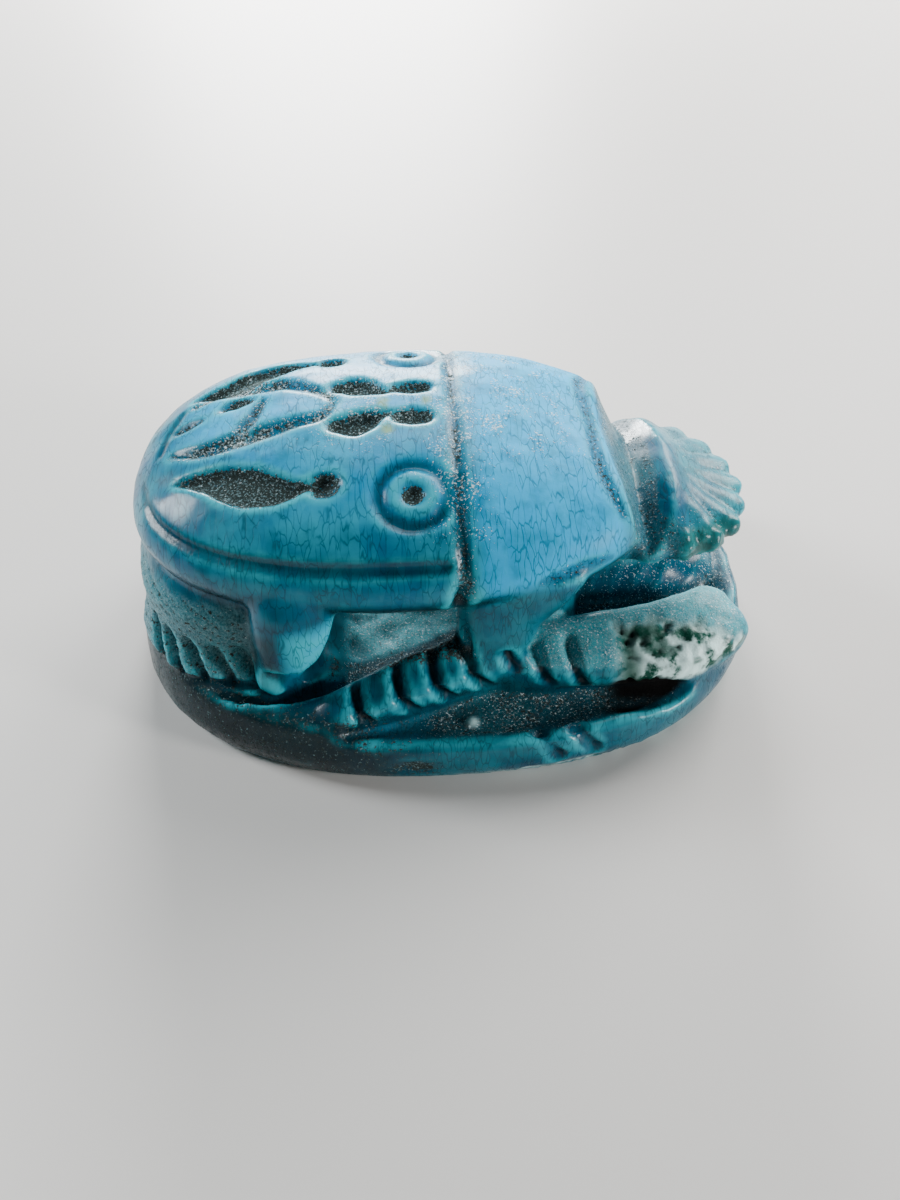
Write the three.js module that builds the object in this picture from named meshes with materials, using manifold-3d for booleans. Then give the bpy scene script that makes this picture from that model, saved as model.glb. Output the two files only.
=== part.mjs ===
// Scarab amulet in glazed ceramic: a beetle carved and fired in one piece with the oval plinth it stands on.
// Millimetres, +Z up, +X towards the head. The origin is the centre of the plinth's flat underside.
import * as THREE from "three";
import { mergeVertices } from "three/addons/utils/BufferGeometryUtils.js";
import Module from "manifold-3d";

const wasm = await Module();
wasm.setup();

// Driving sizes
const length = 60; // plinth, tail to head
const width = 44; // plinth, side to side
const height = 25; // underside to the top of the wing cases
const plinthThickness = 5; // at the rim
const channelDepth = 1; // dish between the rim and the legs
const shelfHeight = 6.4; // the plinth's raised rear rim
const legHeight = 9.4; // top of the front legs
const lipDrop = 3.4; // how far the body goes down under its widest line
const fanUnderside = 13.8; // head plate, from the table
const fanRadius = 9.5; // head plate

// Carving sizes
const seamWidth = 1.3; // between the thorax and the wing cases
const seamDepth = 0.75;
const lineWidth = 1.0; // engraved lines
const lineDepth = 0.6;
const pocketDepth = 1.0; // sunk ornaments
const ringRadius = 2.95;
const ringWidth = 0.9;
const pupilRadius = 1.0;
const notchWidth = 1.3; // notches across the legs
const notchDepth = 1.0;

// Places on the free form are shares: x of the half length, y of the half width, z of the height.
const halfLength = length / 2;
const halfWidth = width / 2;
const at = (x, y, z) => new THREE.Vector3(x * halfLength, y * halfWidth, z * height);

const ovalPower = 2.4; // plan of the plinth: 2 is an ellipse, more is squarer
const ovalFacets = 42; // round the plinth and the crown
const body = {
  centre: -0.14 * halfLength,
  halfLength: 0.782 * halfLength,
  halfWidth: 0.736 * halfWidth,
  widest: 0.702 * height,
  crown: 0.298 * height,
  planPower: 2.53,
  crownPower: 1.98,
};

// Solids
function solid(geometry) {
  const bare = new THREE.BufferGeometry();
  bare.setAttribute("position", geometry.getAttribute("position"));
  bare.setIndex(geometry.getIndex());
  const merged = mergeVertices(bare, 1e-5);
  const made = new wasm.Manifold(
    new wasm.Mesh({
      numProp: 3,
      vertProperties: new Float32Array(merged.attributes.position.array),
      triVerts: new Uint32Array(merged.index.array),
    }),
  );
  if (made.volume() > 0) return made;
  const turned = new Uint32Array(merged.index.array);
  for (let i = 0; i < turned.length; i += 3) [turned[i], turned[i + 1]] = [turned[i + 1], turned[i]];
  return new wasm.Manifold(
    new wasm.Mesh({
      numProp: 3,
      vertProperties: new Float32Array(merged.attributes.position.array),
      triVerts: turned,
    }),
  );
}

const join = (solids) => solids.reduce((all, one) => all.add(one));

// Moves every vertex of a three.js geometry to where place(vertex) says.
function reshape(geometry, place) {
  const points = geometry.getAttribute("position");
  const vertex = new THREE.Vector3();
  for (let i = 0; i < points.count; i++) {
    const moved = place(vertex.fromBufferAttribute(points, i));
    points.setXYZ(i, moved.x, moved.y, moved.z);
  }
  return geometry;
}

const signedPower = (value, power) => Math.sign(value) * Math.abs(value) ** power;

// A turned profile of [share of the radius, z], drawn out to an oval plan.
function ovalSolid(profile, { x = 0, halfX, halfY, power }, segments) {
  const turned = new THREE.LatheGeometry(
    profile.map(([r, z]) => new THREE.Vector2(r, z)),
    segments,
  );
  return solid(
    reshape(turned, (v) => {
      const r = Math.hypot(v.x, v.z);
      const angle = Math.atan2(-v.z, v.x);
      return new THREE.Vector3(
        x + r * halfX * signedPower(tidy(Math.cos(angle)), 2 / power),
        r * halfY * signedPower(tidy(Math.sin(angle)), 2 / power),
        v.y,
      );
    }),
  );
}

// Rounds what floating point leaves beside 0, so that both ends of a turned profile meet.
const tidy = (value) => (Math.abs(value) < 1e-6 ? 0 : value);

// A limb or a cutter along a path: a ball drawn out so that it is wide(t) and deep(t) about the path.
// The section squares up as power grows; 1 makes it a diamond.
function stroke(points, { wide, deep, up, along = 12, around = 8, power = 2, blunt = 2 }) {
  const path = new THREE.CatmullRomCurve3(points, false, "centripetal");
  const ball = new THREE.SphereGeometry(1, around, along);
  return solid(
    reshape(ball, (v) => {
      const share = THREE.MathUtils.clamp((1 - v.y) / 2, 0, 1);
      const angle = Math.atan2(v.z, v.x);
      const end = Math.abs(v.y) > 1 - 1e-6 ? 0 : (1 - Math.abs(v.y) ** blunt) ** (1 / blunt);
      const centre = path.getPoint(share);
      const tangent = path.getTangent(share);
      const normal = up(centre, share).clone();
      normal.addScaledVector(tangent, -normal.dot(tangent)).normalize();
      const side = new THREE.Vector3().crossVectors(normal, tangent);
      const across = signedPower(tidy(Math.cos(angle)), 2 / power) * end * (wide(share) / 2);
      const lift = signedPower(tidy(Math.sin(angle)), 2 / power) * end * deep(share);
      return centre.addScaledVector(side, across).addScaledVector(normal, lift);
    }),
  );
}

// A solid ruled between four guide curves, given as functions of the share along them.
function guidedSolid(corners, steps) {
  const box = new THREE.BoxGeometry(1, 1, 1, 1, steps, 1);
  return solid(
    reshape(box, (v) => {
      const corner = v.x < 0 ? (v.z < 0 ? 0 : 3) : v.z < 0 ? 1 : 2;
      return corners[corner](v.y + 0.5);
    }),
  );
}

// Straight interpolation through values spread evenly over 0 to 1.
function graded(values) {
  return (t) => {
    const place = THREE.MathUtils.clamp(t, 0, 1) * (values.length - 1);
    const below = Math.min(Math.floor(place), values.length - 2);
    return THREE.MathUtils.lerp(values[below], values[below + 1], place - below);
  };
}

// Widths given as shares of the half width
const widths = (shares) => graded(shares.map((share) => share * halfWidth));

const steady = (value) => () => value;
const upwards = () => new THREE.Vector3(0, 0, 1);

// The crown: the smooth back that thorax and wing cases share
function crownHeight(x, y) {
  const plan =
    Math.abs((x - body.centre) / body.halfLength) ** body.planPower +
    Math.abs(y / body.halfWidth) ** body.planPower;
  const rest = 1 - Math.min(plan, 1) ** (body.crownPower / body.planPower);
  return body.widest + body.crown * Math.max(rest, 0) ** (1 / body.crownPower);
}

function crownPoint([x, y]) {
  const px = x * halfLength;
  const py = y * halfWidth;
  return new THREE.Vector3(px, py, crownHeight(px, py));
}

function crownNormal(point) {
  const step = 0.05;
  const slopeX = (crownHeight(point.x + step, point.y) - crownHeight(point.x - step, point.y)) / (2 * step);
  const slopeY = (crownHeight(point.x, point.y + step) - crownHeight(point.x, point.y - step)) / (2 * step);
  return new THREE.Vector3(-slopeX, -slopeY, 1).normalize();
}

// A point on the crown's side at a height, by its turn from the head end.
function crownAtHeight(turn, z) {
  const rise = (z - body.widest) / body.crown;
  const r = (1 - rise ** body.crownPower) ** (1 / body.crownPower);
  return new THREE.Vector3(
    body.centre + r * body.halfLength * signedPower(Math.cos(turn), 2 / body.planPower),
    r * body.halfWidth * signedPower(Math.sin(turn), 2 / body.planPower),
    z,
  );
}

function crownSolid() {
  const rings = 6;
  const profile = [
    [0, body.widest - lipDrop],
    [0.8, body.widest - lipDrop],
    [0.93, body.widest - 0.72 * lipDrop],
    [0.985, body.widest - 0.35 * lipDrop],
  ];
  for (let i = 0; i <= rings; i++) {
    const turn = (i / rings) * (Math.PI / 2);
    const r = i === rings ? 0 : Math.cos(turn) ** (2 / body.crownPower);
    profile.push([r, body.widest + body.crown * Math.sin(turn) ** (2 / body.crownPower)]);
  }
  const plan = { x: body.centre, halfX: body.halfLength, halfY: body.halfWidth, power: body.planPower };
  return ovalSolid(profile, plan, ovalFacets);
}

// The plinth, with its dished top
function plinthSolid() {
  const rim = plinthThickness;
  const floor = plinthThickness - channelDepth;
  const profile = [
    [0, 0],
    [0.965, 0],
    [0.988, 0.14 * rim],
    [1, 0.5 * rim],
    [0.985, 0.88 * rim],
    [0.95, rim],
    [0.88, floor],
    [0, floor],
  ];
  return ovalSolid(profile, { halfX: halfLength, halfY: halfWidth, power: ovalPower }, ovalFacets);
}

// The raised rear rim: it slopes in as it rises, and runs out where the middle legs leave it
function shelfSolid() {
  const profile = [
    [0, 0.3 * plinthThickness],
    [0.985, 0.3 * plinthThickness],
    [0.985, 0.9 * plinthThickness],
    [0.955, shelfHeight - 0.4],
    [0.92, shelfHeight],
    [0, shelfHeight],
  ];
  const whole = ovalSolid(profile, { halfX: halfLength, halfY: halfWidth, power: ovalPower }, ovalFacets);
  const ahead = new THREE.BoxGeometry(2 * length, 2 * width, 2 * height);
  ahead.translate(length, 0, 0);
  ahead.rotateY(THREE.MathUtils.degToRad(-52));
  ahead.translate(-0.32 * halfLength, 0, plinthThickness);
  return whole.subtract(solid(ahead));
}

// Rear of the body down to the plinth: the hind legs' shins are its toothed outer wall
function rumpSolid() {
  const top = body.widest - 0.7 * lipDrop;
  const profile = [
    [0, 0.6 * plinthThickness],
    [1, 0.6 * plinthThickness],
    [1, 0.4 * height],
    [0.96, 0.52 * height],
    [0.86, top],
    [0, top],
  ];
  const plan = { x: -0.56 * halfLength, halfX: 0.39 * halfLength, halfY: 0.655 * halfWidth, power: 2.5 };
  return ovalSolid(profile, plan, 28);
}

// Breast: carries the thorax between the tunnel and the hollow under the head
function breastSolid() {
  const top = body.widest - 0.7 * lipDrop;
  const profile = [
    [0, 0.6 * plinthThickness],
    [0.97, 0.6 * plinthThickness],
    [0.9, 0.4 * height],
    [0.98, top],
    [0, top],
  ];
  const plan = { x: 0.23 * halfLength, halfX: 0.215 * halfLength, halfY: 0.56 * halfWidth, power: 2.6 };
  return ovalSolid(profile, plan, 20);
}

// The tunnel under the wing cases, from side to side; it widens towards its mouths
function tunnelCutter() {
  const low = plinthThickness - channelDepth;
  const high = body.widest - lipDrop;
  const rear = -0.385 * halfLength;
  const front = 0.035 * halfLength;
  const opening = new THREE.Shape();
  const corner = 0.12 * height;
  opening.moveTo(rear, low);
  opening.lineTo(front, low);
  opening.lineTo(front, high - corner);
  opening.quadraticCurveTo(front, high, front - corner, high);
  opening.lineTo(rear + corner, high);
  opening.quadraticCurveTo(rear, high, rear, high - corner);
  const bar = new THREE.ExtrudeGeometry(opening, { depth: 2 * width, bevelEnabled: false, curveSegments: 4 });
  bar.rotateX(Math.PI / 2);
  bar.translate(0, width, 0);
  const flares = [-1, 1].map((side) =>
    stroke([at(-0.3, side * 0.3, 0.34), at(-0.37, side * 1.1, 0.34)], {
      wide: steady(0.42 * halfLength),
      deep: steady(0.22 * height),
      up: upwards,
      along: 6,
      around: 12,
      power: 3,
    }),
  );
  return join([solid(bar), ...flares]);
}

// Limbs of one side
function hindThigh(side) {
  return stroke([at(-0.42, side * 0.61, 0.74), at(-0.46, side * 0.65, 0.48), at(-0.53, side * 0.66, 0.18)], {
    wide: graded([0.26, 0.29, 0.27, 0.19, 0.1].map((share) => share * halfLength)),
    deep: graded([0.1, 0.115, 0.11, 0.095, 0.06].map((share) => share * height)),
    up: () => new THREE.Vector3(0, side, 0),
    along: 9,
    around: 8,
    power: 2.3,
    blunt: 3,
  });
}

function thoraxLobe(side) {
  return stroke([at(0.22, side * 0.58, 0.78), at(0.14, side * 0.6, 0.5), at(0.12, side * 0.62, 0.24)], {
    wide: graded([0.42, 0.34, 0.25, 0.21, 0.2].map((share) => share * halfLength)),
    deep: graded([0.085, 0.095, 0.09, 0.095, 0.1].map((share) => share * height)),
    up: () => new THREE.Vector3(0, side, 0),
    along: 9,
    around: 8,
    power: 3,
    blunt: 6,
  });
}

const middleLegPath = (side) => [
  at(0.27, side * 0.54, 0.245),
  at(0.05, side * 0.635, 0.235),
  at(-0.15, side * 0.725, 0.215),
  at(-0.4, side * 0.82, 0.175),
];

function middleLeg(side) {
  return stroke(middleLegPath(side), {
    wide: widths([0.21, 0.2, 0.19, 0.17]),
    deep: graded([0.14, 0.135, 0.125, 0.1].map((share) => share * height)),
    up: () => new THREE.Vector3(0, side * 0.35, 1).normalize(),
    along: 10,
    around: 8,
    power: 4,
    blunt: 8,
  });
}

const frontLegPath = (side) => [
  at(0.13, side * 0.6, 0.62 * (legHeight / height)),
  at(0.43, side * 0.585, 0.63 * (legHeight / height)),
  at(0.66, side * 0.555, 0.62 * (legHeight / height)),
  at(0.89, side * 0.385, 0.58 * (legHeight / height)),
];

function frontLeg(side) {
  return stroke(frontLegPath(side), {
    wide: widths([0.24, 0.3, 0.37, 0.32]),
    deep: graded([0.36, 0.37, 0.37, 0.35].map((share) => share * legHeight)),
    up: () => new THREE.Vector3(0, side * 0.25, 1).normalize(),
    along: 9,
    around: 10,
    power: 3.6,
    blunt: 7,
  });
}

// Head: a fan-shaped plate that slopes away from a crest across the head
const fan = {
  x: 0.617 * halfLength,
  crest: 0.752 * height, // middle of the ridge across the head
  crestSag: 0.088 * height, // to the ridge's ends
  edge: 0.626 * height,
  lobes: 19, // round the whole circle; about half of them show
  lobeDepth: 0.42,
};

const fanEdge = (angle) =>
  fanRadius + fan.lobeDepth * (Math.abs(Math.cos((angle * fan.lobes) / 2)) - 0.5) * 2;
const fanGroove = (angle) => 1 - Math.abs(Math.cos((angle * fan.lobes) / 2));

// The ridge across the head bows back towards its ends
const crestReach = 0.62 * halfWidth;
const crestX = (y) => (0.68 - 0.08 * (y / crestReach) ** 2) * halfLength;

// From the ridge the head falls away in a hollow curve to its edge.
function fanTop(x, y) {
  const ridge = fan.crest - fan.crestSag * (y / fanRadius) ** 2;
  const beyond = THREE.MathUtils.clamp((x - crestX(y)) / (fan.x + fanRadius - crestX(y)), 0, 1);
  return ridge - (ridge - fan.edge) * (1 - (1 - beyond) ** 2);
}

function fanSolid() {
  const ball = new THREE.SphereGeometry(1, 57, 4);
  return solid(
    reshape(ball, (v) => {
      const share = tidy(Math.hypot(v.x, v.z));
      const angle = share === 0 ? 0 : Math.atan2(v.z, v.x);
      const r = share * fanEdge(angle);
      const x = fan.x + r * Math.cos(angle);
      const y = r * Math.sin(angle);
      const topside = fanTop(x, y) - fan.lobeDepth * fanGroove(angle) * share ** 2;
      const rounded = 0.35 * (topside - fanUnderside) * share ** 8;
      return new THREE.Vector3(x, y, tidy(v.y) < 0 ? fanUnderside : topside - rounded);
    }),
  );
}

function neckSolid() {
  const profile = [
    [0, 0.55 * height],
    [0.8, 0.55 * height],
    [1, 0.62 * height],
    [0.9, 0.72 * height],
    [0, 0.8 * height],
  ];
  const plan = { x: 0.56 * halfLength, halfX: 0.13 * halfLength, halfY: 0.42 * halfWidth, power: 2.4 };
  return ovalSolid(profile, plan, 28);
}

// The V between the thorax's front edge and the crest of the head
function neckCutter() {
  const across = (t) => (2 * t - 1) * crestReach;
  const bow = (y) => (y / crestReach) ** 2;
  const edge = (t) => {
    const y = across(t);
    const x = (0.452 + 0.11 * bow(y)) * halfLength;
    return new THREE.Vector3(x, y, crownHeight(x, y));
  };
  const valley = (t) => {
    const y = across(t);
    return new THREE.Vector3((0.575 - 0.01 * bow(y)) * halfLength, y, (0.7 - 0.2 * bow(y)) * height);
  };
  const crest = (t) => {
    const y = across(t);
    const x = crestX(y);
    return new THREE.Vector3(x, y, fanTop(x, y));
  };
  const beyond = (from, to, share) => from.clone().lerp(to, share);
  return guidedSolid(
    [
      valley,
      (t) => beyond(valley(t), crest(t), 1.9),
      (t) => beyond(valley(t), crest(t), 1.9).setZ(1.5 * height),
      (t) => beyond(valley(t), edge(t), 1.9),
    ],
    20,
  );
}

// Engraving on the crown: places are [share of the half length, share of the half width]
function engraved(places, wide, deep, { along = 6, around = 4, blunt = 2 } = {}) {
  return stroke(places.map(crownPoint), { wide, deep, up: crownNormal, along, around, power: 2, blunt });
}

function seamCutter() {
  const shares = Array.from({ length: 13 }, (_, i) => -1 + i / 6);
  const x = 0.026 * halfLength;
  const lengthways = ((x - body.centre) / body.halfLength) ** body.planPower;
  const rim = body.halfWidth * (1 - lengthways) ** (1 / body.planPower);
  const points = shares.map((share) => {
    const y = rim * 0.999 * Math.sin((share * Math.PI) / 2);
    return new THREE.Vector3(x + 0.02 * halfLength * share ** 4, y, crownHeight(x, y));
  });
  const outward = (point) => {
    const turn = Math.asin(THREE.MathUtils.clamp(point.y / rim, -0.99, 0.99));
    return new THREE.Vector3(0, Math.sin(turn), 1.2 * Math.cos(turn));
  };
  return stroke(points, {
    wide: steady(seamWidth),
    deep: steady(seamDepth),
    up: outward,
    along: 16,
    around: 4,
    blunt: 12,
  });
}

// The seam goes on down the side, between the tunnel's mouth and the thorax
function seamTail(side) {
  return stroke([at(0.035, side * 0.72, 0.72), at(0.05, side * 0.68, 0.56), at(0.06, side * 0.64, 0.4)], {
    wide: steady(1.6 * seamWidth),
    deep: steady(3 * seamDepth),
    up: () => new THREE.Vector3(0, side, 0),
    along: 8,
    around: 6,
  });
}

function sideLine(side) {
  const turns = [0.435, 0.55, 0.66, 0.76, 0.86].map((share) => side * share * Math.PI * 1.12);
  const points = turns.map((turn) => crownAtHeight(turn, 0.805 * height));
  return stroke(points, {
    wide: steady(1.1 * lineWidth),
    deep: steady(1.1 * lineDepth),
    up: crownNormal,
    along: 12,
    around: 4,
    blunt: 6,
  });
}

function ringAndPupil(side) {
  const centre = crownPoint([-0.096, side * 0.455]);
  const upright = new THREE.Quaternion().setFromUnitVectors(new THREE.Vector3(0, 0, 1), crownNormal(centre));
  const ring = new THREE.TorusGeometry(ringRadius, ringWidth / 2, 4, 18);
  const pupil = new THREE.SphereGeometry(pupilRadius, 8, 4);
  return [ring, pupil].map((geometry) =>
    solid(geometry.applyQuaternion(upright).translate(centre.x, centre.y, centre.z)),
  );
}

function dropAndBall(side) {
  const drop = engraved(
    [
      [-0.74, side * 0.25],
      [-0.6, side * 0.325],
      [-0.47, side * 0.39],
      [-0.39, side * 0.405],
    ],
    widths([0.04, 0.12, 0.19, 0.22, 0.16]),
    steady(pocketDepth),
    { along: 9, around: 6, blunt: 3 },
  );
  const ball = engraved(
    [
      [-0.375, side * 0.4],
      [-0.29, side * 0.4],
    ],
    steady(0.123 * halfWidth),
    steady(0.85 * pocketDepth),
    { along: 6, around: 6 },
  );
  return [drop, ball];
}

// Ornament between the wing cases: two sunk wedges with a bar each, and a leaf in two lobes
const middle = 0.02; // it sits a little off the centre line

function wedgeAndBar(side) {
  const wedge = [
    [-0.31, middle + side * 0.17],
    [-0.15, middle + side * 0.075],
  ];
  const bar = [
    [-0.15, middle + side * 0.1],
    [-0.035, middle + side * 0.105],
  ];
  return [
    engraved(wedge, widths([0.18, 0.11, 0.045]), steady(0.8 * pocketDepth), { blunt: 4 }),
    engraved(bar, steady(0.08 * halfWidth), steady(0.7 * pocketDepth), { blunt: 3 }),
  ];
}

function leafLobe(side) {
  const spread = side < 0 ? 0.13 : 0.19;
  const lobe = [
    [-0.77, middle + side * 0.7 * spread],
    [-0.62, middle + side * 1.1 * spread],
    [-0.47, middle + side * spread],
    [-0.33, middle + side * 0.02],
  ];
  const swell = [0.8, 1.5, 1.4, 0.9].map((share) => share * lineWidth);
  return engraved(lobe, graded(swell), steady(1.1 * lineDepth), { along: 9 });
}

function leafVeins() {
  const veins = [
    [
      [-0.6, middle - 0.11],
      [-0.55, middle],
      [-0.51, middle + 0.15],
    ],
    [
      [-0.65, middle + 0.09],
      [-0.57, middle + 0.12],
    ],
    [
      [-0.77, middle + 0.03],
      [-0.7, middle + 0.05],
    ],
  ];
  return veins.map((vein) => engraved(vein, steady(lineWidth), steady(lineDepth)));
}

function thoraxLines(side) {
  const front = engraved(
    [
      [0.4, side * 0.02],
      [0.405, side * 0.2],
      [0.43, side * 0.34],
      [0.46, side * 0.44],
    ],
    steady(0.7 * lineWidth),
    steady(0.7 * lineDepth),
    { along: 7, blunt: 8 },
  );
  const cheekPath = [
    at(0.25, side * 0.675, 0.72),
    at(0.34, side * 0.635, 0.735),
    at(0.46, side * 0.55, 0.735),
  ];
  const cheek = stroke(cheekPath, {
    wide: steady(lineWidth),
    deep: steady(lineDepth),
    up: crownNormal,
    along: 8,
    around: 6,
  });
  return [front, cheek];
}

// Notches across a leg's upper outer edge, leaning forward as they go down
function notches(path, shares, side) {
  const curve = new THREE.CatmullRomCurve3(path, false, "centripetal");
  return shares.map((share) => {
    const centre = curve.getPoint(share);
    const tangent = curve.getTangent(share);
    const outward = new THREE.Vector3(-tangent.y, tangent.x, 0).normalize();
    if (outward.y * side < 0) outward.negate();
    const onLeg = (out, rise, forward) =>
      centre
        .clone()
        .addScaledVector(outward, out * halfWidth)
        .add(new THREE.Vector3(forward * notchWidth, 0, rise * height));
    return stroke([onLeg(0.01, 0.15, -0.5), onLeg(0.12, 0.06, 0.1), onLeg(0.12, -0.05, 0.8)], {
      wide: steady(notchWidth),
      deep: steady(notchDepth),
      up: () => outward,
      along: 4,
      around: 4,
      blunt: 12,
    });
  });
}

function toothNotches(side) {
  return [0.3, 0.4, 0.505, 0.61, 0.72].map((share) => {
    const turn = (0.5 + 0.5 * share) * Math.PI;
    const x = (-0.56 + 0.39 * signedPower(Math.cos(turn), 2 / 2.5)) * halfLength;
    const y = side * 0.655 * halfWidth * Math.sin(turn) ** (2 / 2.5);
    const outward = new THREE.Vector3(Math.cos(turn), side * Math.sin(turn), 0);
    const foot = new THREE.Vector3(x, y, 0.17 * height).addScaledVector(outward, 0.3);
    const top = new THREE.Vector3(x - 1, y, 0.4 * height);
    return stroke([foot, top], {
      wide: steady(1.5 * notchWidth),
      deep: steady(1.3 * notchDepth),
      up: () => outward,
      along: 4,
      around: 4,
      blunt: 12,
    });
  });
}

function plinthNotches(side) {
  return [0.13, 0.3].map((x) =>
    stroke([at(x, side * 0.94, 0.24), at(x + 0.06, side * 1.03, 0.08)], {
      wide: steady(0.8 * notchWidth),
      deep: steady(0.6 * notchDepth),
      up: () => new THREE.Vector3(0, side, 0.4).normalize(),
      along: 4,
      around: 4,
    }),
  );
}

// Trough in the plinth's top beside the hind leg
function rearTrench(side) {
  const path = [
    at(-0.2, side * 0.6, 0.3),
    at(-0.47, side * 0.74, 0.29),
    at(-0.66, side * 0.73, 0.3),
    at(-0.8, side * 0.64, 0.31),
  ];
  return stroke(path, {
    wide: widths([0.145, 0.135, 0.08, 0.036]),
    deep: graded([0.11, 0.11, 0.09, 0.05].map((share) => share * height)),
    up: upwards,
    along: 12,
    around: 8,
    power: 2.6,
    blunt: 3,
  });
}

// Low ridge on the plinth under the head, between the front legs
function keelSolid() {
  return stroke([at(0.3, 0, 0.2), at(0.6, 0, 0.19), at(0.93, 0, 0.14)], {
    wide: widths([0.46, 0.42, 0.4]),
    deep: graded([0.16, 0.15, 0.1].map((share) => share * height)),
    up: upwards,
    along: 7,
    around: 10,
    blunt: 3,
  });
}

// Undercut between the front leg's outer side and the plinth's channel
function legUndercut(side) {
  return stroke([at(0.28, side * 0.76, 0.19), at(0.5, side * 0.78, 0.2), at(0.74, side * 0.76, 0.2)], {
    wide: steady(0.12 * halfWidth),
    deep: graded([0.02, 0.035, 0.03].map((share) => share * height)),
    up: upwards,
    along: 8,
    around: 6,
    blunt: 3,
  });
}

function scarab() {
  const sides = [-1, 1];
  const bodyCore = join([crownSolid(), rumpSolid(), breastSolid()]).subtract(tunnelCutter());
  const joined = join([
    bodyCore,
    plinthSolid(),
    shelfSolid(),
    neckSolid(),
    fanSolid(),
    keelSolid(),
    ...sides.flatMap((side) => [hindThigh(side), thoraxLobe(side), middleLeg(side), frontLeg(side)]),
  ]);
  const cuts = join([
    neckCutter(),
    seamCutter(),
    ...leafVeins(),
    ...sides.flatMap((side) => [
      sideLine(side),
      seamTail(side),
      ...ringAndPupil(side),
      ...dropAndBall(side),
      ...wedgeAndBar(side),
      leafLobe(side),
      ...thoraxLines(side),
      ...toothNotches(side),
      ...plinthNotches(side),
      rearTrench(side),
      legUndercut(side),
      ...notches(middleLegPath(side), [0.1, 0.27, 0.44, 0.6, 0.82], side),
      ...notches(frontLegPath(side), [0.16, 0.29], side),
    ]),
  ]);
  return joined.subtract(cuts);
}

function meshOf(made, name, material) {
  const { vertProperties, triVerts } = made.getMesh();
  const geometry = new THREE.BufferGeometry();
  geometry.setAttribute("position", new THREE.BufferAttribute(new Float32Array(vertProperties), 3));
  geometry.setIndex(new THREE.BufferAttribute(new Uint32Array(triVerts), 1));
  geometry.computeVertexNormals();
  const mesh = new THREE.Mesh(geometry, material);
  mesh.name = name;
  return mesh;
}

const glaze = new THREE.MeshStandardMaterial({ color: 0x2f93b4, roughness: 0.25, metalness: 0 });

const model = new THREE.Group();
model.add(meshOf(scarab(), "scarab", glaze));

export default model;
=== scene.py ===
import math

import bmesh
import bpy
import numpy as np
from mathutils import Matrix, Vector, noise


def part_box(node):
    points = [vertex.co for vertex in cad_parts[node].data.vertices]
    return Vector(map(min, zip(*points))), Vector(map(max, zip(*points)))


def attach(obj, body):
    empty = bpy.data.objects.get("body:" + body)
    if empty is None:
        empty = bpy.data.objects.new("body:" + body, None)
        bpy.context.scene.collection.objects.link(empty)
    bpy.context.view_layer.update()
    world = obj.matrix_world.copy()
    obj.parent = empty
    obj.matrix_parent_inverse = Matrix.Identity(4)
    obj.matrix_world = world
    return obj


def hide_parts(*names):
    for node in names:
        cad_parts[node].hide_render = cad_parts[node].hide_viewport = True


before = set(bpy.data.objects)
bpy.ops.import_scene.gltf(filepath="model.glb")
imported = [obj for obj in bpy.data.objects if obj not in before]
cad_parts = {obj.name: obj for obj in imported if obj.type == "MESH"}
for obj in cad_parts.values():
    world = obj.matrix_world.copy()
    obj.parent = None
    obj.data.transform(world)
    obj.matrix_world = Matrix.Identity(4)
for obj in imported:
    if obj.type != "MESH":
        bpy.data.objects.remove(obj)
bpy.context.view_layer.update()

# The carving is worked in millimetres and scaled to metres at the end
perMetre = 1000.0
low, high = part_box("scarab")
halfLength = (high[0] - low[0]) / 2 * perMetre
halfWidth = (high[1] - low[1]) / 2 * perMetre
height = high[2] * perMetre

plinth = {
    "thickness": 5.0,
    "channelDepth": 1.0,  # dish between the rim and the legs
    "shelfHeight": 6.4,  # raised rear rim
    "planPower": 2.4,  # 2 is an ellipse, more is squarer
}

body = {
    "centre": -0.14 * halfLength,
    "halfLength": 0.782 * halfLength,
    "halfWidth": 0.736 * halfWidth,
    "widest": 0.702 * height,
    "crown": 0.298 * height,
    "planPower": 2.53,
    "crownPower": 1.98,
    "lipDrop": 3.4,  # how far the body goes down under its widest line
}

legs = {
    "frontTop": 9.4,
    "middleNotches": {"x": (-9.2, -5.2, -1.9, 1.4, 5.0), "lean": 0.47, "half": 0.8, "deep": 1.15},
    "frontNotches": {"x": (7.3, 10.3), "lean": 0.4, "half": 0.8, "deep": 0.9},
    "teeth": {  # on the shins, in degrees around the tail
        "turn": (87, 77.5, 68, 58, 49),
        "lean": 2.0,
        "half": 3.3,
        "deep": 1.2,
        "flare": 0.75,
    },
    "shinMiddle": -0.56 * halfLength,  # the hind shins curve round this x
}

head = {
    "x": 0.617 * halfLength,
    "crest": 0.752 * height,  # middle of the ridge across the head
    "crestSag": 0.088 * height,  # to the ridge's ends
    "crestReach": 0.62 * halfWidth,
    "edge": 0.626 * height,
    "underside": 13.8,
    "radius": 9.5,
    "lobes": 19,  # round the whole circle; about half of them show
    "lobeDepth": 0.42,
    "fluteDepth": 0.22,
    "streakDepth": 0.05,
}

finish = {
    "coarseVoxel": 0.32,
    "fineVoxel": 0.314,
    "softening": 6,  # passes that round the joins, as thick glaze does
    "handWobble": 0.16,  # unevenness of the hand carving
    "glazeRipple": 0.045,
}


def at(x, y, z):
    return Vector((x * halfLength, y * halfWidth, z * height))


def signedPower(value, power):
    return np.sign(value) * np.abs(value) ** power


def shares(whole, *parts):  # a size along a limb, as shares of the whole spread evenly from end to end
    sizes = [part * whole for part in parts]
    return lambda t: float(np.interp(t, np.linspace(0, 1, len(sizes)), sizes))


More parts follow.
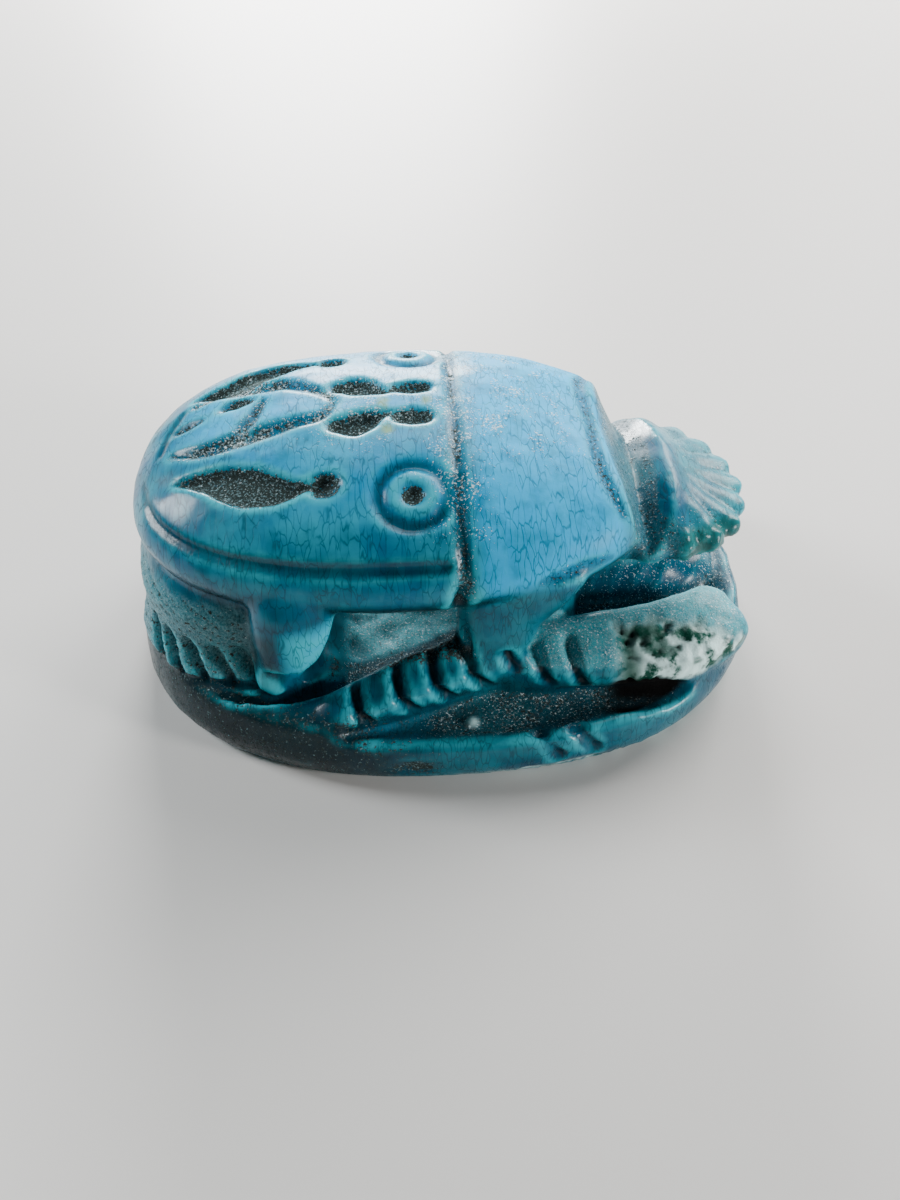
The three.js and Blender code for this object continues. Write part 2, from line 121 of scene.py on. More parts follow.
def smoothPath(points, count):  # an even run of points through the given ones
    points = np.array([tuple(p) for p in points], dtype=float)
    if len(points) == 2:
        share = np.linspace(0, 1, count)[:, None]
        return points[0] * (1 - share) + points[1] * share
    padded = np.vstack([2 * points[0] - points[1], points, 2 * points[-1] - points[-2]])
    dense = []
    for i in range(len(points) - 1):
        a, b, c, d = padded[i:i + 4]
        for t in np.linspace(0, 1, 24, endpoint=False):
            dense.append(0.5 * (2 * b + (c - a) * t + (2 * a - 5 * b + 4 * c - d) * t ** 2
                                + (3 * b - a - 3 * c + d) * t ** 3))
    dense = np.array(dense + [points[-1]])
    along = np.concatenate([[0], np.cumsum(np.linalg.norm(np.diff(dense, axis=0), axis=1))])
    wanted = np.linspace(0, along[-1], count)
    return np.stack([np.interp(wanted, along, dense[:, k]) for k in range(3)], axis=1)


# Rough forms, each a closed shell of its own

def closedShell(shell):
    bmesh.ops.remove_doubles(shell, verts=shell.verts, dist=1e-4)
    bmesh.ops.recalc_face_normals(shell, faces=shell.faces)
    return shell


def ovalShell(profile, centre, halfX, halfY, power, steps=96):
    shell = bmesh.new()
    line = [shell.verts.new((r, 0, z)) for r, z in profile]
    edges = [shell.edges.new(pair) for pair in zip(line, line[1:])]
    bmesh.ops.spin(shell, geom=line + edges, cent=(0, 0, 0), axis=(0, 0, 1),
                   angle=2 * math.pi, steps=steps, use_merge=True)
    for v in shell.verts:
        r = math.hypot(v.co.x, v.co.y)
        turn = math.atan2(v.co.y, v.co.x)
        v.co.x = centre + r * halfX * signedPower(math.cos(turn), 2 / power)
        v.co.y = r * halfY * signedPower(math.sin(turn), 2 / power)
    return closedShell(shell)


def limbShell(points, wide, deep, up, power=2.0, blunt=2.0):
    shell = bmesh.new()
    bmesh.ops.create_uvsphere(shell, u_segments=28, v_segments=40, radius=1.0)
    path = smoothPath(points, 201)
    for v in shell.verts:
        share = min(max((1 - v.co.z) / 2, 0), 1)
        place = share * 200
        i = min(int(place), 199)
        centre = Vector(path[i]).lerp(Vector(path[i + 1]), place - i)
        tangent = Vector(path[i + 1] - path[i]).normalized()
        normal = up - tangent * up.dot(tangent)
        normal.normalize()
        side = normal.cross(tangent)
        end = max(1 - abs(v.co.z) ** blunt, 0) ** (1 / blunt)
        turn = math.atan2(v.co.y, v.co.x)
        across = signedPower(math.cos(turn), 2 / power) * end * wide(share) / 2
        lift = signedPower(math.sin(turn), 2 / power) * end * deep(share)
        v.co = centre + side * across + normal * lift
    return closedShell(shell)


def crownHeight(x, y):
    plan = np.abs((x - body["centre"]) / body["halfLength"]) ** body["planPower"]
    plan = np.minimum(plan + np.abs(y / body["halfWidth"]) ** body["planPower"], 1)
    rest = 1 - plan ** (body["crownPower"] / body["planPower"])
    return body["widest"] + body["crown"] * rest ** (1 / body["crownPower"])


def crownShell():
    widest, drop = body["widest"], body["lipDrop"]
    profile = [(0, widest - drop), (0.8, widest - drop), (0.93, widest - 0.72 * drop),
               (0.985, widest - 0.35 * drop)]
    for i in range(25):
        turn = i / 24 * math.pi / 2
        r = 0 if i == 24 else math.cos(turn) ** (2 / body["crownPower"])
        profile.append((r, widest + body["crown"] * math.sin(turn) ** (2 / body["crownPower"])))
    return ovalShell(profile, body["centre"], body["halfLength"], body["halfWidth"], body["planPower"], 160)


def rumpShell():
    top = body["widest"] - 0.7 * body["lipDrop"]
    profile = [(0, 3), (1.02, 3), (1.02, 0.24 * height), (0.99, 0.37 * height), (0.975, 0.52 * height),
               (0.88, top), (0, top)]
    return ovalShell(profile, -0.56 * halfLength, 0.39 * halfLength, 0.655 * halfWidth, 2.5)


def breastShell():
    top = body["widest"] - 0.7 * body["lipDrop"]
    profile = [(0, 3), (0.97, 3), (0.9, 0.4 * height), (0.98, top), (0, top)]
    return ovalShell(profile, 0.23 * halfLength, 0.215 * halfLength, 0.56 * halfWidth, 2.6)


def plinthShell():
    rim = plinth["thickness"]
    floor = rim - plinth["channelDepth"]
    edge = [(0.968, 0), (0.985, 0.1), (0.998, 0.35), (1, 0.5), (0.996, 0.7), (0.985, 0.88),
            (0.965, 0.98), (0.95, 1)]
    profile = [(0, 0)] + [(r, share * rim) for r, share in edge]
    profile += [(0.92, rim - 0.4 * plinth["channelDepth"]), (0.88, floor), (0, floor)]
    return ovalShell(profile, 0, halfLength, halfWidth, plinth["planPower"], 160)


def shelfShell():  # the raised rear rim, running out where the middle legs leave it
    top, rim = plinth["shelfHeight"], plinth["thickness"]
    profile = [(0, 1.5), (0.985, 1.5), (0.985, 0.9 * rim), (0.955, top - 0.4), (0.92, top), (0, top)]
    shell = ovalShell(profile, 0, halfLength, halfWidth, plinth["planPower"], 160)
    slope = math.radians(52)
    cut = bmesh.ops.bisect_plane(shell, geom=shell.verts[:] + shell.edges[:] + shell.faces[:],
                                 plane_co=(-0.32 * halfLength, 0, rim),
                                 plane_no=(math.cos(slope), 0, math.sin(slope)), clear_outer=True)
    edges = [e for e in cut["geom_cut"] if isinstance(e, bmesh.types.BMEdge)]
    bmesh.ops.holes_fill(shell, edges=edges)
    return closedShell(shell)


def neckShell():
    profile = [(0, 0.55), (0.8, 0.55), (1, 0.62), (0.9, 0.72), (0, 0.8)]
    profile = [(r, z * height) for r, z in profile]
    return ovalShell(profile, 0.56 * halfLength, 0.13 * halfLength, 0.42 * halfWidth, 2.4)


def crestX(py):  # the ridge across the head bows back towards its ends
    return (0.68 - 0.08 * (py / head["crestReach"]) ** 2) * halfLength


def fanTop(px, py):  # from the ridge the head falls away in a hollow curve
    ridge = head["crest"] - head["crestSag"] * (py / head["radius"]) ** 2
    reach = head["x"] + head["radius"] - crestX(py)
    beyond = np.clip((px - crestX(py)) / reach, 0, 1)
    return ridge - (ridge - head["edge"]) * (1 - (1 - beyond) ** 2)


def fanShell():
    shell = bmesh.new()
    bmesh.ops.create_uvsphere(shell, u_segments=228, v_segments=24, radius=1.0)
    for v in shell.verts:
        share = math.hypot(v.co.x, v.co.y)
        turn = math.atan2(v.co.y, v.co.x) if share > 1e-6 else 0.0
        lobe = abs(math.cos(turn * head["lobes"] / 2))
        r = share * (head["radius"] + head["lobeDepth"] * (lobe ** 0.7 - 0.5) * 2)
        px, py = head["x"] + r * math.cos(turn), r * math.sin(turn)
        top = float(fanTop(px, py))
        rounded = 0.35 * (top - head["underside"]) * share ** 8
        v.co = Vector((px, py, head["underside"] if v.co.z < -1e-6 else top - rounded))
    return closedShell(shell)


def keelShell():
    return limbShell([at(0.3, 0, 0.2), at(0.6, 0, 0.19), at(0.93, 0, 0.14)],
                     shares(halfWidth, 0.46, 0.42, 0.4), shares(height, 0.16, 0.15, 0.1),
                     Vector((0, 0, 1)), blunt=3)


def hindThigh(side):
    path = [at(-0.42, side * 0.61, 0.74), at(-0.46, side * 0.65, 0.48), at(-0.53, side * 0.66, 0.18)]
    return limbShell(path, shares(halfLength, 0.25, 0.245, 0.205, 0.135, 0.06),
                     shares(height, 0.1, 0.115, 0.11, 0.095, 0.06), Vector((0, side, 0)), 2.3, 3)


def thoraxLobe(side):
    path = [at(0.22, side * 0.58, 0.78), at(0.14, side * 0.6, 0.5), at(0.12, side * 0.62, 0.24)]
    return limbShell(path, shares(halfLength, 0.42, 0.34, 0.25, 0.21, 0.2),
                     shares(height, 0.085, 0.095, 0.09, 0.095, 0.1), Vector((0, side, 0)), 3, 6)


def middleLegPath(side):
    return [at(0.27, side * 0.54, 0.245), at(0.05, side * 0.635, 0.235), at(-0.15, side * 0.725, 0.215),
            at(-0.4, side * 0.82, 0.175)]


def middleLeg(side):
    return limbShell(middleLegPath(side), shares(halfWidth, 0.21, 0.2, 0.19, 0.17),
                     shares(height, 0.14, 0.135, 0.125, 0.1), Vector((0, side * 0.35, 1)).normalized(), 4, 8)


def frontLegPath(side):
    share = legs["frontTop"] / height
    return [at(0.13, side * 0.6, 0.62 * share), at(0.43, side * 0.585, 0.63 * share),
            at(0.66, side * 0.555, 0.62 * share), at(0.89, side * 0.385, 0.58 * share)]


def frontLeg(side):
    return limbShell(frontLegPath(side), shares(halfWidth, 0.24, 0.3, 0.37, 0.32),
                     shares(legs["frontTop"], 0.36, 0.37, 0.37, 0.35),
                     Vector((0, side * 0.25, 1)).normalized(), 3.6, 7)


# Cutters

def tunnelShell():
    low, top = plinth["thickness"] - plinth["channelDepth"], body["widest"] - body["lipDrop"]
    rear, front, corner = -0.385 * halfLength, 0.035 * halfLength, 0.12 * height
    shell = bmesh.new()
    outline = [(rear, low), (front, low)]
    for start, cx in ((0, front - corner), (90, rear + corner)):
        for i in range(7):
            turn = math.radians(start + 15 * i)
            outline.append((cx + corner * math.cos(turn), top - corner + corner * math.sin(turn)))
    face = shell.faces.new([shell.verts.new((x, -2 * halfWidth, z)) for x, z in outline])
    grown = bmesh.ops.extrude_face_region(shell, geom=[face])
    moved = [v for v in grown["geom"] if isinstance(v, bmesh.types.BMVert)]
    bmesh.ops.translate(shell, verts=moved, vec=(0, 4 * halfWidth, 0))
    return closedShell(shell)


def tunnelMouth(side):
    return limbShell([at(-0.3, side * 0.3, 0.34), at(-0.37, side * 1.1, 0.34)],
                     shares(halfLength, 0.42, 0.42),
                     shares(height, 0.22, 0.22), Vector((0, 0, 1)), 3)


def neckCutter():
    shell = bmesh.new()
    rows = []
    for t in np.linspace(-1, 1, 41):
        py, bow = t * head["crestReach"], t ** 2
        ex = (0.452 + 0.11 * bow) * halfLength
        edge = Vector((ex, py, crownHeight(ex, py)))
        valley = Vector(((0.575 - 0.01 * bow) * halfLength, py, (0.7 - 0.2 * bow) * height))
        crest = Vector((crestX(py), py, fanTop(crestX(py), py)))
        beyondCrest, beyondEdge = valley.lerp(crest, 1.9), valley.lerp(edge, 1.9)
        corners = [valley, beyondCrest, Vector((beyondCrest.x, py, 1.5 * height)), beyondEdge]
        rows.append([shell.verts.new(c) for c in corners])
    shell.faces.new(rows[0])
    shell.faces.new(rows[-1])
    for a, b in zip(rows, rows[1:]):
        for k in range(4):
            shell.faces.new((a[k], a[(k + 1) % 4], b[(k + 1) % 4], b[k]))
    return closedShell(shell)


def undercutPath(side):
    return [at(0.28, side * 0.76, 0.19), at(0.5, side * 0.78, 0.2), at(0.74, side * 0.76, 0.2)]


def legUndercut(side):
    return limbShell(undercutPath(side), shares(halfWidth, 0.14, 0.14), shares(height, 0.02, 0.042, 0.035),
                     Vector((0, 0, 1)), blunt=3)


def rearTrench(side):
    path = [at(-0.2, side * 0.6, 0.3), at(-0.47, side * 0.74, 0.29), at(-0.66, side * 0.73, 0.3),
            at(-0.8, side * 0.64, 0.31)]
    return limbShell(path, shares(1, 1.8, 1.6, 1.1, 0.6), shares(height, 0.11, 0.11, 0.09, 0.05),
                     Vector((0, 0, 1)), 2.6, 3)


def gathered(name, shells):  # several shells as one object's mesh
    mesh = bpy.data.meshes.new(name)
    whole = bmesh.new()
    for shell in shells:
        shell.to_mesh(mesh)
        shell.free()
        whole.from_mesh(mesh)
    whole.to_mesh(mesh)
    whole.free()
    made = bpy.data.objects.new(name, mesh)
    bpy.context.scene.collection.objects.link(made)
    return made


def baked(source, name):  # the object with its modifiers turned into a plain mesh
    bpy.context.view_layer.update()
    seen = source.evaluated_get(bpy.context.evaluated_depsgraph_get())
    mesh = bpy.data.meshes.new_from_object(seen)
    mesh.name = name
    bpy.data.meshes.remove(source.data)
    made = bpy.data.objects.new(name, mesh)
    bpy.context.scene.collection.objects.link(made)
    return made


def remeshed(target, voxel):
    modifier = target.modifiers.new("evenSkin", "REMESH")
    modifier.mode = "VOXEL"
    modifier.voxel_size = voxel


def cutBy(target, cutter):
    modifier = target.modifiers.new("cut", "BOOLEAN")
    modifier.operation = "DIFFERENCE"
    modifier.solver = "EXACT"
    modifier.object = cutter


sides = (-1, 1)
core = gathered("core", [crownShell(), rumpShell(), breastShell()])
tunnel = gathered("tunnel", [tunnelShell()])
mouths = [gathered("tunnelMouth", [tunnelMouth(side)]) for side in sides]
remeshed(core, finish["coarseVoxel"])
for cutter in [tunnel] + mouths:
    cutBy(core, cutter)
pierced = baked(core, "pierced")

limbs = [limb(side) for side in sides for limb in (hindThigh, thoraxLobe, middleLeg, frontLeg)]
grown = bmesh.new()
grown.from_mesh(pierced.data)
rough = gathered("rough", [grown, plinthShell(), shelfShell(), neckShell(), fanShell(), keelShell()] + limbs)
cutters = [gathered("neckCut", [neckCutter()])]
for side in sides:
    cutters += [gathered("undercut", [legUndercut(side)]), gathered("trench", [rearTrench(side)])]
remeshed(rough, finish["coarseVoxel"])
for cutter in cutters:
    cutBy(rough, cutter)
remeshed(rough, finish["fineVoxel"])
soften = rough.modifiers.new("glazeSoftness", "SMOOTH")
soften.factor = 0.5
soften.iterations = finish["softening"]
scarab = baked(rough, "scarabAmulet")
for helper in [tunnel, pierced] + mouths + cutters:
    bpy.data.meshes.remove(helper.data)
print("rough form:", len(scarab.data.vertices), "vertices")


# Fine carving: every stroke moves the skin in along its own normal and leaves masks for the glaze

mesh = scarab.data
count = len(mesh.vertices)
place = np.empty(count * 3)
mesh.vertices.foreach_get("co", place)
place = place.reshape(-1, 3)
normal = np.empty(count * 3)
mesh.vertices.foreach_get("normal", normal)
normal = normal.reshape(-1, 3)
x, y, z = place.T
outward = np.abs(y)
fromHead = np.hypot(x - head["x"], y)
up = normal[:, 2]
sink = np.zeros(count)  # how far the skin goes in
swell = np.zeros(count)  # how far it comes out
# Several masks paint light and shade into the colour: the shade mask, the lighter-glaze mask and the black
# one under the front legs. The pale mask carries thin glaze and painted light, and the matte and frost masks
# also paint light onto the tunnel floor
maskNames = ("deposit", "bare", "crust", "frostAndLit", "shade", "thinGlazeAndLit", "pool", "paintedLight", "deepShadow", "moss")
masks = {name: np.zeros(count) for name in maskNames}
everywhere = slice(None)


def soft(value, start, end):  # 0 at start, 1 at end, eased
    t = np.clip((value - start) / np.maximum(end - start, 1e-9), 0, 1)
    return t * t * (3 - 2 * t)


def below(value, full, gone):  # 1 under full, 0 over gone, eased
    return soft(-value, -gone, -full)


def band(value, start, full, fade, end):  # 1 from full to fade, 0 outside start to end
    return soft(value, start, full) * below(value, fade, end)


def press(found, values):  # the deepest stroke counts
    sink[found] = np.maximum(sink[found], values)


def raiseBy(found, values):  # the highest swelling counts
    swell[found] = np.maximum(swell[found], values)


def mark(name, *layers, found=everywhere):  # the strongest layer counts
    masks[name][found] = np.maximum.reduce([masks[name][found], *layers])


def near(path, reach):  # the vertices near a path, how far they are from it and how far along it
    lowest, highest = path.min(axis=0) - reach, path.max(axis=0) + reach
    found = np.nonzero(np.all((place > lowest) & (place < highest), axis=1))[0]
    if not len(found):
        return found, np.zeros(0), np.zeros(0)
    gaps = np.linalg.norm(place[found][:, None, :] - path[None, :, :], axis=2)
    best = gaps.argmin(axis=1)
    return found, gaps[np.arange(len(found)), best], best / (len(path) - 1)


def carve(points, wide, deep, wall=0.55, deposit=0.8, frosted=0.0, steps=64):
    path = smoothPath(points, steps)
    widths = [wide] if np.isscalar(wide) else wide
    found, gap, along = near(path, max(widths) * 0.5 + 1.2)
    half = np.interp(along, np.linspace(0, 1, len(widths)), widths) / 2 + 0.15
    inside = half - gap
    press(found, deep * soft(inside, 0, wall))
    mark("deposit", deposit * soft(inside, 0.05, 0.45), found=found)
    mark("frostAndLit", (0.4 + 0.5 * frosted) * min(2 * deposit, 1) * soft(inside, -0.3, 0.1), found=found)
    # painted shade in the groove and along its edge
    mark("shade", 0.5 * soft(inside, -0.25, 0.15), found=found)
    mark("thinGlazeAndLit", deposit * np.exp(-((inside + 0.2) / 0.3) ** 2), found=found)


def onCrown(*points):
    return [Vector((px, py, crownHeight(px, py))) for px, py in points]


def mirrored(side, *points):  # the same stroke on either side
    return [(px, side * py) for px, py in points]


ornament = {
    "lineDepth": 0.5,
    "pocketDepth": 0.85,
    "seamDepth": 0.5,
    "seamSideDepth": 1.2,
    "sideLineHeight": 20.1,
    "ringAt": (-2.9, 10.0),
    "ringRadius": 2.8,
    "ringWidth": 1.25,
    "ringDepth": 0.42,
    "ringReach": 4.6,  # how far from its middle the ring touches the skin
    "ringSwell": 0.12,  # the boss inside the ring
    "pupilRadius": 1.05,
    "pupilDepth": 0.7,
    "middle": 0.45,  # the ornament sits a little off the middle
}


def carveRing(side):
    ringX, ringY = ornament["ringAt"]
    centre = np.array(onCrown((ringX, side * ringY))[0])
    found = np.nonzero(np.linalg.norm(place - centre, axis=1) < ornament["ringReach"])[0]
    away = place[found] - centre
    axis = normal[found].mean(axis=0)
    axis /= np.linalg.norm(axis)
    r = np.linalg.norm(away - np.outer(away @ axis, axis), axis=1)
    ring = np.clip(1 - ((r - ornament["ringRadius"]) / (ornament["ringWidth"] / 2)) ** 2, 0, 1) ** 0.6
    pupil = np.clip(1 - (r / ornament["pupilRadius"]) ** 2, 0, 1) ** 0.6
    halo = np.exp(-((r - ornament["pupilRadius"] - 0.35) / 0.35) ** 2)
    press(found, ornament["ringDepth"] * ring + ornament["pupilDepth"] * pupil)
    raiseBy(found, ornament["ringSwell"] * np.clip(1 - (r / 2.2) ** 2, 0, 1))
    mark("deposit", 0.08 * ring, 0.95 * pupil, found=found)
    # painted shade in the ring's groove
    mark("shade", 0.6 * ring, found=found)
    mark("thinGlazeAndLit", 0.9 * halo, found=found)


def carveDrop(side):
    drop = mirrored(side, (-22.4, 5.9), (-19.4, 6.7), (-16.4, 8.0), (-13.6, 8.75), (-11.4, 8.75))
    carve(onCrown(*drop), [0.4, 1.9, 3.3, 3.8, 2.8, 0.8], ornament["pocketDepth"], 0.7, 1.0)
    carve(onCrown(*mirrored(side, (-10.1, 8.8), (-9.8, 8.8))), 2.4, 0.75, 0.7, 0.75)


def carvePair(side):  # the two wedges with their round ends, beside the middle
    def stroke(*points):
        return onCrown(*[(px, py + ornament["middle"]) for px, py in mirrored(side, *points)])

    wedge = stroke((-9.0, 2.8), (-7.4, 2.7), (-5.0, 1.5))
    carve(wedge, [1.8, 3.0, 2.2, 0.6], ornament["pocketDepth"], 0.65, 1.0)
    carve(stroke((-3.7, 2.1), (-1.7, 2.2)), [1.6, 2.1, 1.7], 0.7, 0.65, 1.0)
    carve(stroke((-4.8, 1.6), (-3.4, 2.0)), 0.7, 0.4, 0.5, 0.7)


def carveTailFigure():  # a rounded frame with a bar and small sunk marks
    deep = ornament["lineDepth"]
    nearLobe = onCrown((-23.2, -2.1), (-20.6, -2.9), (-18.0, -2.6), (-15.5, -2.1), (-12.9, -1.5),
                       (-10.4, -1.0), (-9.6, 0.4))
    farLobe = onCrown((-22.2, 4.6), (-20.4, 5.3), (-17.6, 5.3), (-14.3, 4.9), (-12.0, 3.7),
                      (-10.1, 2.2), (-9.4, 0.9))
    bar = onCrown((-17.6, -1.6), (-16.6, 0.0), (-16.1, 1.5), (-15.7, 2.7))
    carve(nearLobe, [0.8, 1.5, 2.3, 2.2, 1.7, 1.3, 0.9], 1.1 * deep, 0.8, 0.5, 0.8)
    carve(farLobe, [0.8, 1.4, 2.0, 2.0, 1.5, 1.1, 0.8], 1.1 * deep, 0.8, 0.5, 0.8)
    carve(bar, [1.0, 1.4, 1.2, 0.7], deep, 0.7, 0.45, 0.9)
    carve(onCrown((-19.3, 2.6), (-18.2, 3.1), (-16.9, 3.2)), [0.8, 1.8, 0.8], 1.1 * deep, 0.7, 0.7, 0.3)
    carve(onCrown((-23.4, 1.3), (-21.2, 1.8)), [0.8, 1.1, 0.6], deep, 0.7, 0.5)
    carve(onCrown((-24.6, -1.2), (-24.2, 1.8), (-23.2, 4.2)), 0.6, 0.5 * deep, 0.6, 0.1)


def seamLine(side):  # between thorax and wing cases, over the top and down the side
    rim = side * body["halfWidth"] * 0.992
    steps = np.linspace(0, 1, 9)
    return onCrown(*[(0.8 + 0.35 * t ** 4, rim * math.sin(t * math.pi / 2)) for t in steps])


def sideLine(side):  # the crown's outline at the height of the engraved side line
    lineHeight = ornament["sideLineHeight"]
    rise = (lineHeight - body["widest"]) / body["crown"]
    r = (1 - rise ** body["crownPower"]) ** (1 / body["crownPower"])
    turns = [math.radians(a) for a in (170, 150, 130, 112, 97, 84)]
    return [Vector((body["centre"] + r * body["halfLength"] * signedPower(math.cos(t), 2 / body["planPower"]),
                    side * r * body["halfWidth"] * math.sin(t) ** (2 / body["planPower"]), lineHeight))
            for t in turns]


def carveThorax(side):  # the line along its front edge and the crease over the front leg
    frontEdge = mirrored(side, (12.9, 0), (12.7, 3.0), (12.8, 5.9), (13.4, 8.1), (14.2, 9.8))
    crease = [Vector((7.3, side * 15.1, 17.9)), Vector((9.2, side * 14.5, 18.1)),
              Vector((11.3, side * 13.6, 18.1)), Vector((13.2, side * 12.6, 17.9))]
    carve(onCrown(*frontEdge), [1.0, 1.1, 1.1, 0.7], 0.32, 0.8, 0.3, 0.4)
    carve(crease, [0.6, 1.3, 1.2, 0.5], 0.4, 0.7, 0.25)


def carveBack():
    for side in sides:
        carve(seamLine(side), [0.9, 1.0, 1.1, 1.3], ornament["seamDepth"], 0.7, 0.35, 0.8)
        carve([at(0.025, side * 0.735, 0.74), at(0.015, side * 0.71, 0.56), at(0.03, side * 0.7, 0.4)],
              [1.2, 1.9, 1.8], ornament["seamSideDepth"], 0.9, 0.3)
        carve(sideLine(side), [0.3, 1.0, 1.4, 1.5, 1.3], 0.5, 0.8, 0.06)
        carveThorax(side)
        carveRing(side)
        carveDrop(side)
        carvePair(side)
    carveTailFigure()


def rowOfNotches(along, centres, row, where):  # notches across whatever the mask covers
    for centre in centres:
        inside = soft(row["half"] - np.abs(along - centre), 0, row["half"]) * where
        press(everywhere, row["deep"] * inside)
        # painted shade in each notch
        mark("shade", 0.8 * soft(inside, 0.1, 0.7))


def carveMiddleLeg(side):
    row = legs["middleNotches"]
    path = smoothPath(middleLegPath(side), 60)
    order = np.argsort(path[:, 0])
    outer = side * y - np.interp(x, path[order, 0], np.abs(path[order, 1]))
    where = band(outer, -1.3, -0.3, 2.8, 3.4) * band(z, 5.0, 5.9, 9.6, 10.4) * band(x, -12, -10.5, 6.5, 7.5)
    rowOfNotches(x - row["lean"] * (9.0 - z), row["x"], row, where)


def carveFrontLeg(side):
    row = legs["frontNotches"]
    where = soft(side * y, 12.6, 14.2) * band(z, 5.4, 6.2, 9.2, 10.2) * band(x, 5.5, 6.5, 12, 13)
    rowOfNotches(x - row["lean"] * (9.0 - z), row["x"], row, where)


def carveHindLeg(side):
    row = legs["teeth"]
    fromMiddle = x - legs["shinMiddle"]
    turn = np.degrees(np.arctan2(side * y, -fromMiddle))
    wall = soft(side * y, 5, 7) * below(x, -15.5, -14.0) * below(np.abs(up), 0.4, 0.75) * soft(z, 5.9, 6.5)
    wall *= soft(np.hypot(fromMiddle, y), 11.5, 12.5)
    rowOfNotches(turn + row["lean"] * (z - 8), row["turn"], row, wall * below(z, 9.4, 10.6))
    raiseBy(everywhere, row["flare"] * wall * below(z, 7.0, 10.5))


def carveFan():
    turn = np.arctan2(y, x - head["x"])
    top = soft(x - crestX(y), 0.6, 2.0) * soft(up, 0.2, 0.6) * soft(z, 14.3, 15.0)
    flute = (1 - np.abs(np.cos(turn * head["lobes"] / 2))) ** 1.3 * soft(fromHead, 2.5, 8.0)
    streaks = np.abs(np.sin(turn * head["lobes"] * 1.5 + 0.6 * np.sin(fromHead)))
    press(everywhere, top * (head["fluteDepth"] * flute + head["streakDepth"] * streaks))
    mark("deposit", 0.25 * top * flute)
    mark("bare", 0.05 * top)
    mark("frostAndLit", 0.25 * top)
    mark("thinGlazeAndLit", top * (0.2 + 0.5 * soft(fromHead, 7.0, 9.0)))


def noiseAt(scale, seed, octaves=3):
    offset = Vector((seed * 17.3, seed * 5.1, seed * 9.7))
    return np.array([noise.fractal(Vector(p) * scale + offset, 1.0, 2.0, octaves) for p in place])


def bubbleAt(scale, seed):  # distance to the nearest of scattered points
    offset = Vector((seed * 7.7, seed * 3.1, seed * 1.9))
    return np.array([noise.voronoi(Vector(p) * scale + offset)[0][0] for p in place])


carveBack()
for side in sides:
    carveMiddleLeg(side)
    carveFrontLeg(side)
    carveHindLeg(side)
carveFan()
print("carved")

# Where the glaze is matte, dirty, frosted or broken, and where light and shade are painted into its colour.
# The zones' limits are in millimetres from the
# middle of the base: x towards the head, y to the far side, z up
wobble = noiseAt(0.13, 1)
ripple = noiseAt(0.5, 2)
grainField = noiseAt(1.4, 3, 4)
reach = (np.abs(x / halfLength) ** plinth["planPower"] + np.abs(y / halfWidth) ** plinth["planPower"]) ** (
    1 / plinth["planPower"])

shinFace = below(x, -18.5, -16.0) * band(z, 6.6, 7.6, 13.8, 15.0) * soft(outward, 3, 7) * below(up, 0.5, 0.8)
legTop = soft(x, 4.5, 8.5) * band(z, 7.2, 8.4, 10.0, 10.8) * soft(up, 0.3, 0.7)
# Painted shade on the hind thighs' left halves
thighShadow = band(x, -20.5, -18.5, -15.0, -12.6) * band(outward, 11.5, 12.5, 16.5, 18.0)
thighShadow *= band(z, 6.5, 8.0, 13.5, 15.5)
# Painted highlight on the hind thighs' right sides, by the knees
kneeLight = band(x, -15.0, -12.8, -10.0, -8.5) * soft(outward, 12.0, 13.0) * band(z, 7.0, 9.0, 13.5, 15.5)
inTunnel = band(x, -10.2, -9.2, 1.0, 2.0) * below(outward, 13.4, 14.6) * below(z, 12.0, 13.5)
shadowLine = 11.5 - 3.9 * (np.clip(x + 11, 0, 12) / 11) ** 1.6  # where the painted shadow on the tunnel's floor begins
# The tunnel's floor on the inner side of that line is painted as lit
litFloor = inTunnel * below(outward, shadowLine - 0.5, shadowLine + 0.5)
# Painted shadow on the floor and slope between the shadow line and the tunnel's mouths
shadowedSlope = band(x, -12, -10, 2.0, 3.5) * below(outward, 14.8, 16.2) * band(z, 5.0, 6.0, 9.5, 10.5)
shadowedSlope *= soft(outward, shadowLine - 0.5, shadowLine + 0.5)
channel = below(z, 4.6, 6.0) * soft(up, 0.25, 0.7) * below(reach, 0.9, 0.97) * soft(x, -12, -9)
# Painted light on the channel towards the tail, by its outer edge
channelGlow = channel * below(x, -4.5, -1.0) * soft(outward, 14.5, 16.0)
# The rest of the channel, outside the painted light; it gets painted shade below
unlitChannel = channel * (1 - litFloor) * (1 - channelGlow)
neckDip = band(x, 13.2, 14.4, 19.5, 21.5) * soft(z, 13.5, 15.5) * below(outward, 10.5, 11.5)
neckDip *= below(z - crownHeight(x, y), -0.5, -0.1)
headGap = below(z, 13.4, 14.2) * soft(x, 12.0, 13.5) * below(outward, 9.0, 10.5)
# Surfaces facing down, given painted shade below
under = below(up, -0.5, 0.1)
foot = np.maximum(0.45 * below(z, 4.8, 6.2),
                  0.93 * below(x - 2 * ripple, -12, 10) * below(z, 6.0, 7.8) * soft(reach, 0.80, 0.90))
foot *= 1 - 0.4 * soft(y, -4, 8)  # the plinth's wall darkened by painted shade and darker glaze, strongest near the tail, weaker on the far side

